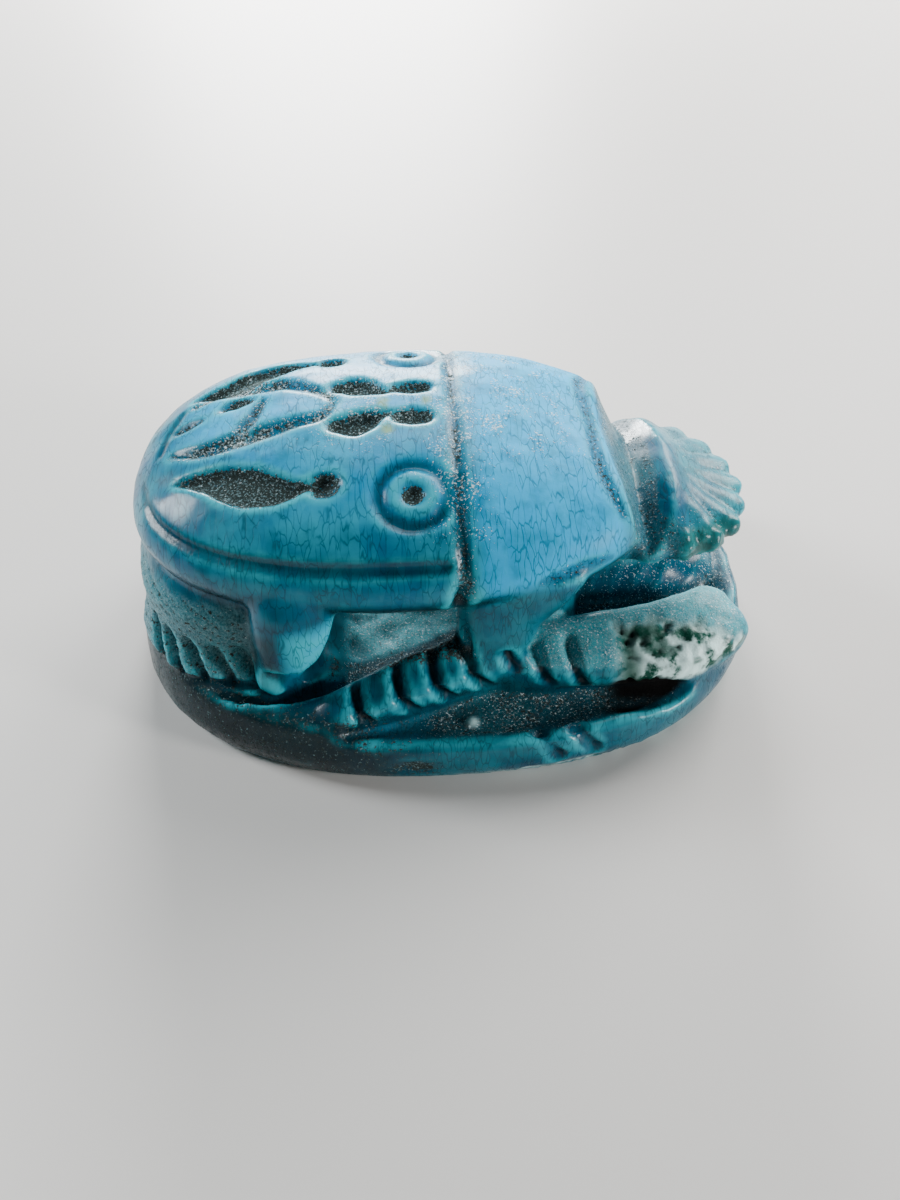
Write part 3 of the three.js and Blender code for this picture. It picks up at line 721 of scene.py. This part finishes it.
crust = soft(x, 13.8, 15.6) * soft(-y - 1.2 * ripple, 11.6, 13.2) * band(z, 5.4, 6.2, 9.6, 10.4)
pits = bubbleAt(1.05, 4)
glassy = np.maximum(below(x, 15.2, 17.6), soft(z - 0.5 * ripple, 8.6, 9.6))  # green glass left and above
glassy = np.maximum(glassy, 0.8 * soft(noiseAt(0.35, 8), 0.1, 0.3))
lump = below(y, -6.2, -4.2) * soft(x, 19.5, 21.0) * soft(z, 12.8, 13.6) * soft(fromHead, 7.6, 8.8)
deepShadow = np.zeros(count)  # painted black shadow deep under the front legs
for side in sides:
    found, gap, along = near(smoothPath(undercutPath(side), 60), 2.6)
    deepShadow[found] = np.maximum(deepShadow[found], below(gap, 1.4, 2.3) * soft(along, 0.25, 0.5))
deepShadow *= band(z, 3.6, 4.2, 6.2, 6.9) * below(reach, 0.93, 0.955)
scratch = (np.sin((x * 0.8 + z * 1.6 + 0.6 * wobble + 0.25 * ripple) * 4.2) * 0.5 + 0.5) ** 4  # tool marks, darkened with dirt and painted shade
scratch *= shinFace

# Pale dust along the seam and in patches on the top
patches = soft(ripple, -0.3, 0.15)
onTop = soft(z, 19.5, 21.0) * patches
seamFrost = 0.9 * np.exp(-((x - 0.9) / 2.6) ** 2) * soft(z, 20.0, 22.5) * (0.4 + 0.6 * patches)
thoraxFrost = 0.8 * band(x, 0.5, 2.0, 8.0, 14.0) * soft(y, -8.5, -3.5) * onTop
wingFrost = 0.7 * band(x, -14.0, -8.0, -1, 1) * soft(y, -7.5, -3.0) * onTop

# Painted light: the thorax and the top are lighter, the far side of the top most
thoraxGlow = 0.9 * band(x, 0.8, 3.5, 13.5, 15.5) * soft(z, 16.5, 18.5)
farTopGlow = 0.65 * soft(z, 21.0, 23.5) * soft(y, -5.0, 1.0)
# Painted shade on the plinth's top inside its rim
plinthTop = 0.7 * band(z, 3.0, 4.0, 4.0, 7.0) * below(reach, 0.88, 0.95)
# The lit tunnel floor's share here lightens it with matte dust, as painted light
mark("bare", 0.6 * shinFace, 0.75 * legTop, 0.15 * channel, 0.2 * neckDip, 0.6 * litFloor)
mark("deposit", 0.22 * neckDip, 0.3 * unlitChannel, 0.5 * scratch, 0.45 * shadowedSlope,
     0.3 * foot * below(x, -6, 6))
# The lit tunnel floor's share here is painted light
mark("frostAndLit", 0.5 * headGap, seamFrost, thoraxFrost, wingFrost, 0.4 * neckDip, 0.6 * unlitChannel, 0.6 * legTop,
     0.3 * shinFace, 0.6 * litFloor)
mark("crust", crust)
mark("pool", lump, crust * glassy)
# Painted black shadow under the front legs and in the pits of the glassy crust
mark("deepShadow", deepShadow, crust * glassy * below(pits, 0.2, 0.34))
# Painted light on the thorax, the top, the knees, the tunnel floor and the channel's end
mark("paintedLight", thoraxGlow, 0.35 * soft(z, 21.5, 24.0), farTopGlow, kneeLight, 0.5 * litFloor,
     0.6 * channelGlow)
# Painted light on the front legs' tops, the tunnel floor and the knees
mark("thinGlazeAndLit", legTop, litFloor, kneeLight)
# Painted shade under the body, in the channel and the gap under the head, on the slope in the tunnel's
# shadow, on the plinth's top and wall, in the neck's dip and the scratches and on the thighs' left halves;
# the shins and the lower parts are darker too
mark("shade", 0.9 * under * soft(z, 1.0, 3.0) * (1 - litFloor), 0.6 * unlitChannel, 0.1 * headGap,
     0.9 * shadowedSlope, plinthTop, foot, 0.45 * neckDip, 0.55 * shinFace, 0.85 * scratch,
     0.4 * below(z, 15.0, 19.5) * (1 - legTop), 0.75 * thighShadow)

wear = {
    "mossSpots": ((-5.1, 0.3, 0.5), (-1.4, 0.5, 0.45), (-4.7, -3.4, 0.4)),  # x, y and size of the stains
    "nodule": (1.5, -18.6, 4.2),
    "noduleRadius": 0.62,
    "noduleLift": 0.5,
    "rimNicks": {-1: ((7.5, 0.75), (10.8, 0.8)), 1: ((4.0, 0.7), (-9.0, 0.7))},  # x and width, on either side
    "nickDepth": 0.7,
    "chip": (-3.6, -21.4, 2.2),
    "chipRadius": 0.9,
    "chipDepth": 0.7,
}

for mossX, mossY, size in wear["mossSpots"]:
    gap = np.hypot(x - mossX, (y - mossY) * 0.8) + 0.3 * grainField
    mark("moss", below(gap, 0.2, size + 0.3) * soft(z, 20, 21))

# Relief of the broken crust, the lumpy pool of glaze and the tool scratches
relief = {
    "scratches": 0.24,
    "legGrit": 0.05,
    "channelGrit": 0.10,
    "neckRidges": 0.14,
    "brokenCrust": 0.22,
    "crustLumps": 0.8,
    "shadowedSlope": 0.4,
    "tunnelFloor": 0.15,
    "glazePool": 0.5,
    "poolDents": 0.8,
    "lowEdge": 0.35,
}

grit = np.clip(grainField, 0, 1)
lumps = bubbleAt(0.85, 4)
pitting = 0.5 * bubbleAt(2.0, 5) + 1.6 * glassy * below(pits, 0.15, 0.5)
crustRelief = crust * (0.25 + 0.35 * grainField - pitting)
neckRidges = headGap * np.abs(np.sin((x - 0.7 * y) * 1.3 + wobble)) * soft(up, -0.2, 0.3)
sink += relief["scratches"] * scratch + relief["legGrit"] * legTop * grit
sink += relief["neckRidges"] * neckRidges
sink += relief["brokenCrust"] * crust + relief["channelGrit"] * channel * grit
swell += relief["shadowedSlope"] * shadowedSlope + relief["tunnelFloor"] * litFloor * ripple
uneven = finish["handWobble"] * wobble + finish["glazeRipple"] * ripple * (1 - masks["crust"])
move = swell - sink + soft(z, 0.3, 1.2) * uneven
move += relief["crustLumps"] * crustRelief
move += lump * (relief["glazePool"] - relief["poolDents"] * np.clip(lumps, 0, 0.75))

nodule = np.exp(-(np.linalg.norm(place - np.array(wear["nodule"]), axis=1) / wear["noduleRadius"]) ** 4)
move += wear["noduleLift"] * nodule
mark("crust", 0.8 * nodule)

# Nicks in the plinth's rim and its rough lower edge towards the front
for side in sides:
    for nickX, wide in wear["rimNicks"][side]:
        start = Vector((nickX - 0.6, side * 0.915 * halfWidth, 5.2))
        end = Vector((nickX + 1.5, side * 0.985 * halfWidth * (1 - (nickX / halfLength) ** 2 * 0.25), 2.6))
        found, gap, _ = near(smoothPath([start, end], 24), wide)
        move[found] -= wear["nickDepth"] * np.clip(1 - (gap / wide) ** 2, 0, 1)
lowEdge = band(z, 0.02, 0.2, 0.4, 1.5) * soft(reach, 0.96, 0.985) * soft(x, -4, 6) * below(y, -9, -4)
move -= relief["lowEdge"] * lowEdge * np.clip(0.5 + grainField, 0, 1)
mark("crust", lowEdge * soft(grainField, -0.2, 0.2))
fromChip = (place - np.array(wear["chip"])) * np.array((0.45, 1, 1))  # longer along the rim
chipGap = np.linalg.norm(fromChip, axis=1)
chip = np.exp(-(chipGap / wear["chipRadius"]) ** 2)
move -= wear["chipDepth"] * chip
mark("deposit", chip)

pairs = np.empty(len(mesh.edges) * 2, dtype=np.int64)
mesh.edges.foreach_get("vertices", pairs)
pairs = pairs.reshape(-1, 2)
links = np.bincount(pairs.ravel(), minlength=count)


def averaged(values, passes=1):  # each vertex takes the mean of itself and its neighbours
    for _ in range(passes):
        total = values.copy()
        for a, b in ((0, 1), (1, 0)):
            total += np.bincount(pairs[:, a], weights=values[pairs[:, b]], minlength=count)
        values = total / (links + 1)
    return values


move = averaged(move, 1)
flat = z < 0.12  # the underside stays flat
move[flat] = 0
place = place + normal * move[:, None]
place[flat, 2] = 0

# Glaze runs thinner and paler over ridges; hollows get painted shade along with the darker glaze gathered in
# them
around = np.stack([averaged(place[:, k], 3) for k in range(3)], axis=1)
ridge = averaged(np.einsum("ij,ij->i", place - around, normal), 2)
mark("thinGlazeAndLit", soft(ridge, 0.012, 0.06))
mark("shade", 0.55 * below(ridge, -0.08, -0.015))

# Back to the size of the frame
lowest, highest = place.min(axis=0), place.max(axis=0)
boxLow = np.array(low) * perMetre
boxHigh = np.array(high) * perMetre
place = boxLow + (place - lowest) * (boxHigh - boxLow) / (highest - lowest)
mesh.vertices.foreach_set("co", (place / perMetre).ravel())
for name, values in masks.items():
    layer = mesh.attributes.new(name, "FLOAT", "POINT")
    layer.data.foreach_set("value", np.clip(values, 0, 1).astype(np.float32))

# The flat underside needs no fine grid
skin = bmesh.new()
skin.from_mesh(mesh)
flatFaces = [f for f in skin.faces if all(v.co.z < 1e-6 for v in f.verts)]
bmesh.ops.dissolve_faces(skin, faces=flatFaces, use_verts=True)
skin.to_mesh(mesh)
skin.free()
mesh.shade_smooth()
mesh.update()
mesh.calc_loop_triangles()
print("skin:", len(mesh.loop_triangles), "triangles")


# Materials

def newGroup(name, inputs, outputs):
    group = bpy.data.node_groups.new(name, "ShaderNodeTree")
    for label, kind, value in inputs:
        socket = group.interface.new_socket(name=label, in_out="INPUT", socket_type=kind)
        if value is not None:
            socket.default_value = value
    for label, kind in outputs:
        group.interface.new_socket(name=label, in_out="OUTPUT", socket_type=kind)
    start = group.nodes.new("NodeGroupInput")
    end = group.nodes.new("NodeGroupOutput")
    return group, start, end


def addNode(tree, kind, **settings):
    node = tree.nodes.new(kind)
    for key, value in settings.items():
        setattr(node, key, value)
    return node


def combine(tree, operation, a, b=None, clamp=False):
    node = addNode(tree, "ShaderNodeMath", operation=operation, use_clamp=clamp)
    for socket, value in zip(node.inputs, (a, b)):
        if value is None:
            continue
        if isinstance(value, (int, float)):
            socket.default_value = value
        else:
            tree.links.new(value, socket)
    return node.outputs[0]


def ramp(tree, value, fromLow, fromHigh, toLow=0.0, toHigh=1.0):
    node = addNode(tree, "ShaderNodeMapRange", interpolation_type="SMOOTHSTEP")
    tree.links.new(value, node.inputs["Value"])
    amounts = {"From Min": fromLow, "From Max": fromHigh, "To Min": toLow, "To Max": toHigh}
    for label, amount in amounts.items():
        node.inputs[label].default_value = amount
    return node.outputs["Result"]


def mixColour(tree, factor, a, b, blend="MIX"):
    node = addNode(tree, "ShaderNodeMix", data_type="RGBA", blend_type=blend)
    for socket, value in ((node.inputs[0], factor), (node.inputs[6], a), (node.inputs[7], b)):
        if isinstance(value, (int, float)):
            socket.default_value = value
        elif isinstance(value, tuple):
            socket.default_value = (*value, 1.0)
        else:
            tree.links.new(value, socket)
    return node.outputs[2]


def noiseNode(tree, vector, scale, detail=3.0, roughness=0.55):
    node = addNode(tree, "ShaderNodeTexNoise")
    tree.links.new(vector, node.inputs["Vector"])
    node.inputs["Scale"].default_value = scale
    node.inputs["Detail"].default_value = detail
    node.inputs["Roughness"].default_value = roughness
    return node


def crackleGroup():  # fine cracks, longer across the beetle than along it
    group, start, end = newGroup("glazeCrackle", [("Vector", "NodeSocketVector", None),
                                                  ("Cells per mm", "NodeSocketFloat", 1.0)],
                                 [("Line", "NodeSocketFloat"), ("Tone", "NodeSocketFloat")])
    stretch = addNode(group, "ShaderNodeVectorMath", operation="MULTIPLY")
    stretch.inputs[1].default_value = (1.0, 0.26, 0.3)
    group.links.new(start.outputs["Vector"], stretch.inputs[0])
    warp = noiseNode(group, stretch.outputs[0], 0.9, 2.0)
    warpScale = addNode(group, "ShaderNodeVectorMath", operation="SCALE")
    warpScale.inputs["Scale"].default_value = 0.95
    group.links.new(warp.outputs["Color"], warpScale.inputs[0])
    warped = addNode(group, "ShaderNodeVectorMath", operation="ADD")
    group.links.new(stretch.outputs[0], warped.inputs[0])
    group.links.new(warpScale.outputs[0], warped.inputs[1])
    edge = addNode(group, "ShaderNodeTexVoronoi", feature="DISTANCE_TO_EDGE")
    cell = addNode(group, "ShaderNodeTexVoronoi", feature="F1")
    for voronoi in (edge, cell):
        group.links.new(warped.outputs[0], voronoi.inputs["Vector"])
        group.links.new(start.outputs["Cells per mm"], voronoi.inputs["Scale"])
    broken = ramp(group, noiseNode(group, start.outputs["Vector"], 0.45, 2.0).outputs["Fac"], 0.34, 0.52)
    line = combine(group, "MULTIPLY", ramp(group, edge.outputs["Distance"], 0.0, 0.085, 1.0, 0.0), broken)
    group.links.new(line, end.inputs["Line"])
    tone = addNode(group, "ShaderNodeSeparateColor")
    group.links.new(cell.outputs["Color"], tone.inputs[0])
    group.links.new(tone.outputs[0], end.inputs["Tone"])
    return group


def speckGroup():  # grains and dust where the mask lets them settle
    group, start, end = newGroup("settledGrain", [("Vector", "NodeSocketVector", None),
                                                  ("Mask", "NodeSocketFloat", 0.0),
                                                  ("Grains per mm", "NodeSocketFloat", 3.0),
                                                  ("Cover", "NodeSocketFloat", 0.5)],
                                 [("Cover", "NodeSocketFloat"), ("Height", "NodeSocketFloat")])
    grain = addNode(group, "ShaderNodeTexNoise")
    grain.inputs["Detail"].default_value = 4.0
    grain.inputs["Roughness"].default_value = 0.7
    group.links.new(start.outputs["Vector"], grain.inputs["Vector"])
    group.links.new(start.outputs["Grains per mm"], grain.inputs["Scale"])
    uneven = noiseNode(group, start.outputs["Vector"], 0.6, 3.0)
    patch = ramp(group, uneven.outputs["Fac"], 0.3, 0.65, 0.55, 1.1)
    reachIn = combine(group, "MULTIPLY", start.outputs["Mask"], start.outputs["Cover"])
    reachIn = combine(group, "MULTIPLY", reachIn, patch)
    level = combine(group, "ADD", grain.outputs["Fac"], reachIn)
    allowed = ramp(group, start.outputs["Mask"], 0.02, 0.2)
    masked = combine(group, "MULTIPLY", ramp(group, level, 0.66, 0.72), allowed)
    group.links.new(masked, end.inputs["Cover"])
    group.links.new(combine(group, "MULTIPLY", grain.outputs["Fac"], masked), end.inputs["Height"])
    return group


glazeColours = {
    "turquoise": (0.0004, 0.115, 0.225),
    # painted light: lighter glaze where the light falls
    "paintedLight": (0.0004, 0.50, 0.95),
    # used for painted shade and for darker clouds in the glaze
    "deep": (0.0004, 0.006, 0.0055),
    # also used for thin glaze and painted light
    "pale": (0.04, 0.56, 0.66),
    "crack": (0.0003, 0.02, 0.035),
    "greyBrown": (0.034, 0.049, 0.045),
    "greyTeal": (0.05, 0.30, 0.33),
    "dust": (0.36, 0.60, 0.66),
    "frostAndLit": (0.78, 0.94, 0.97),
    "crustWhite": (0.70, 0.98, 0.95),
    "crustGreen": (0.001, 0.07, 0.045),
    "yellowGreen": (0.26, 0.36, 0.02),
    # near black, painted for the deepest shadow
    "deepShadow": (0.004, 0.004, 0.004),
}


glazeLook = {
    "cracksPerMm": 2.0,
    "depositGrains": 3.2,  # grains of dirt per mm, and how much of the hollow they cover
    "depositCover": 0.52,
    "frostGrains": 4.8,
    "frostCover": 0.15,
    "paleClouds": 0.35,
    "deepClouds": 0.3,
    "crackDarkness": 0.5,
    "roughness": 0.24,
    "gloss": 0.4,
    "glossRoughness": 0.26,
    "specular": 0.07,
    "bump": 0.6,
    "bumpDepth": 0.00022,  # in metres
}


def glazeMaterial():
    material = bpy.data.materials.new("crackledGlaze")
    material.use_nodes = True
    tree = material.node_tree
    tree.nodes.clear()
    link = tree.links.new
    output = addNode(tree, "ShaderNodeOutputMaterial")
    shader = addNode(tree, "ShaderNodeBsdfPrincipled")
    link(shader.outputs[0], output.inputs["Surface"])
    colours = glazeColours
    look = glazeLook
    coordinates = addNode(tree, "ShaderNodeTexCoord")
    inMm = addNode(tree, "ShaderNodeVectorMath", operation="SCALE")
    inMm.inputs["Scale"].default_value = perMetre
    link(coordinates.outputs["Object"], inMm.inputs[0])
    where = inMm.outputs[0]
    mask = {}
    for name in masks:
        reader = addNode(tree, "ShaderNodeAttribute", attribute_name=name)
        mask[name] = reader.outputs["Fac"]

    def product(a, b):
        return combine(tree, "MULTIPLY", a, b)

    def spread(value, *limits):
        return ramp(tree, value, *limits)

    def over(factor, a, b):  # colour b over colour a
        return mixColour(tree, factor, a, b)

    def specks(group, name, grains, cover):
        node = addNode(tree, "ShaderNodeGroup", node_tree=group)
        link(where, node.inputs["Vector"])
        link(mask[name], node.inputs["Mask"])
        node.inputs["Grains per mm"].default_value = grains
        node.inputs["Cover"].default_value = cover
        return node.outputs["Cover"], node.outputs["Height"]

    crackle = addNode(tree, "ShaderNodeGroup", node_tree=crackleGroup())
    link(where, crackle.inputs["Vector"])
    crackle.inputs["Cells per mm"].default_value = look["cracksPerMm"]
    cracks = crackle.outputs["Line"]
    settled = speckGroup()
    deposit, depositHeight = specks(settled, "deposit", look["depositGrains"], look["depositCover"])
    frosty, frostHeight = specks(settled, "frostAndLit", look["frostGrains"], look["frostCover"])

    cloud = noiseNode(tree, where, 0.16, 3.0).outputs["Fac"]
    flow = noiseNode(tree, where, 0.55, 4.0).outputs["Fac"]
    fine = noiseNode(tree, where, 5.0, 3.0, 0.7).outputs["Fac"]
    paleness = product(spread(cloud, 0.38, 0.7), look["paleClouds"])
    colour = over(paleness, colours["turquoise"], colours["pale"])
    # painted light
    colour = over(mask["paintedLight"], colour, colours["paintedLight"])
    colour = over(product(spread(flow, 0.42, 0.7), look["deepClouds"]), colour, colours["deep"])
    colour = over(product(crackle.outputs["Tone"], 0.12), colour, colours["pale"])
    # painted shade, with the darker glaze gathered in hollows
    colour = over(mask["shade"], colour, colours["deep"])
    # thin glaze and painted light
    colour = over(product(mask["thinGlazeAndLit"], spread(flow, 0.25, 0.6, 0.25, 0.75)), colour, colours["pale"])
    colour = over(product(cracks, look["crackDarkness"]), colour, colours["crack"])
    matte = over(spread(fine, 0.25, 0.9, 0.0, 0.8), colours["greyTeal"], colours["dust"])
    colour = over(product(mask["bare"], spread(fine, 0.2, 0.62)), colour, matte)
    dirt = over(spread(fine, 0.50, 0.78), colours["greyBrown"], colours["dust"])
    colour = over(deposit, colour, dirt)
    colour = over(product(frosty, 0.85), colour, colours["frostAndLit"])
    colour = over(product(mask["moss"], 0.6), colour, colours["yellowGreen"])
    crustTone = over(spread(flow, 0.46, 0.6), colours["crustWhite"], colours["crustGreen"])
    crustTone = over(product(mask["pool"], 0.8), crustTone, colours["crustGreen"])
    colour = over(mask["crust"], colour, crustTone)
    colour = over(product(mask["pool"], 0.7), colour, colours["crustGreen"])
    # painted black shadow
    colour = over(mask["deepShadow"], colour, colours["deepShadow"])
    link(colour, shader.inputs["Base Color"])

    matteness = combine(tree, "MAXIMUM", product(mask["bare"], 0.6), deposit)
    for dry in (mask["deepShadow"], product(frosty, 0.7), product(mask["crust"], 0.35)):
        matteness = combine(tree, "MAXIMUM", matteness, dry)
    rough = combine(tree, "ADD", look["roughness"], product(fine, 0.10))
    for rougher in (product(cracks, 0.25), product(mask["paintedLight"], 0.2)):
        rough = combine(tree, "ADD", rough, rougher)
    rough = combine(tree, "ADD", rough, product(matteness, 0.6), clamp=True)
    link(rough, shader.inputs["Roughness"])
    shader.inputs["IOR"].default_value = 1.5
    shader.inputs["Specular IOR Level"].default_value = look["specular"]
    shader.inputs["Coat Roughness"].default_value = look["glossRoughness"]
    dull = combine(tree, "MAXIMUM", mask["paintedLight"], matteness)
    shiny = combine(tree, "SUBTRACT", 1.0, dull, clamp=True)
    link(product(shiny, look["gloss"]), shader.inputs["Coat Weight"])

    grain = product(cracks, -0.08)
    bareGrit = product(fine, mask["bare"])
    for height, amount in ((depositHeight, 0.9), (frostHeight, 0.5), (bareGrit, 0.8), (flow, 0.5)):
        grain = combine(tree, "ADD", grain, product(height, amount))
    bump = addNode(tree, "ShaderNodeBump")
    bump.inputs["Strength"].default_value = look["bump"]
    bump.inputs["Distance"].default_value = look["bumpDepth"]
    link(grain, bump.inputs["Height"])
    link(bump.outputs["Normal"], shader.inputs["Normal"])
    return material


mesh.materials.clear()
mesh.materials.append(glazeMaterial())
for face in mesh.polygons:
    face.material_index = 0
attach(scarab, "root")
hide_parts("scarab")
print("glazed")


# Studio

studio = {
    "floorSize": 0.9,
    "floorTone": (0.70, 0.68, 0.65, 1),
    "aim": (0, 0, 0.012),  # what every light points at
    "roomTone": (0.82, 0.86, 0.92, 1),
    "roomStrength": 0.04,
    "lights": {  # place, width and height, strength, tint
        "window": ((0.34, 0.36, 0.24), (0.34, 0.22), 3.5, (1.0, 0.99, 0.97)),
        "sky": ((0.12, 0.34, 0.42), (0.34, 0.26), 1.5, (0.96, 0.98, 1.0)),
        "rearLeft": ((-0.34, 0.12, 0.2), (0.1, 0.18), 1.9, (0.90, 0.96, 1.0)),
        "lowRear": ((-0.03, 0.48, 0.13), (0.2, 0.06), 5.5, (1, 1, 1)),
        "roomRight": ((0.3, -0.14, 0.1), (0.05, 0.1), 1.0, (1, 1, 1)),
        "roomFill": ((0.05, -0.42, 0.34), (0.5, 0.4), 0.07, (1, 1, 1)),
    },
}


def floorPlane():
    bed = bmesh.new()
    bmesh.ops.create_grid(bed, x_segments=1, y_segments=1, size=studio["floorSize"])
    mesh = bpy.data.meshes.new("floor")
    bed.to_mesh(mesh)
    bed.free()
    floor = bpy.data.objects.new("floor", mesh)
    bpy.context.scene.collection.objects.link(floor)
    material = bpy.data.materials.new("paleFloor")
    material.use_nodes = True
    shader = material.node_tree.nodes["Principled BSDF"]
    shader.inputs["Base Color"].default_value = studio["floorTone"]
    shader.inputs["Roughness"].default_value = 0.55
    mesh.materials.append(material)


def softLight(name, place, size, strength, tint):
    lamp = bpy.data.lights.new(name, "AREA")
    lamp.shape = "RECTANGLE"
    lamp.size, lamp.size_y = size
    lamp.energy = strength
    lamp.color = tint
    made = bpy.data.objects.new(name, lamp)
    made.location = place
    facing = Vector(studio["aim"]) - Vector(place)
    made.rotation_euler = facing.to_track_quat("-Z", "Y").to_euler()
    bpy.context.scene.collection.objects.link(made)


view = {
    "position": (-0.00289, -0.06468, 0.06983),  # where the photograph was taken from
    "direction": (0.0368, 0.6797, -0.7325),
    "lens": 27.09,
}


def photoCamera():
    lens = bpy.data.cameras.new("photoView")
    lens.lens = view["lens"]
    lens.sensor_width = 36.0
    lens.clip_start = 0.002
    lens.clip_end = 10.0
    camera = bpy.data.objects.new("photoView", lens)
    camera.location = view["position"]
    camera.rotation_euler = Vector(view["direction"]).to_track_quat("-Z", "Y").to_euler()
    bpy.context.scene.collection.objects.link(camera)
    bpy.context.scene.camera = camera


floorPlane()
for name, light in studio["lights"].items():
    softLight(name, *light)
world = bpy.data.worlds.new("room")
world.use_nodes = True
backdrop = world.node_tree.nodes["Background"]
backdrop.inputs["Color"].default_value = studio["roomTone"]
backdrop.inputs["Strength"].default_value = studio["roomStrength"]
bpy.context.scene.world = world
photoCamera()

print("done")
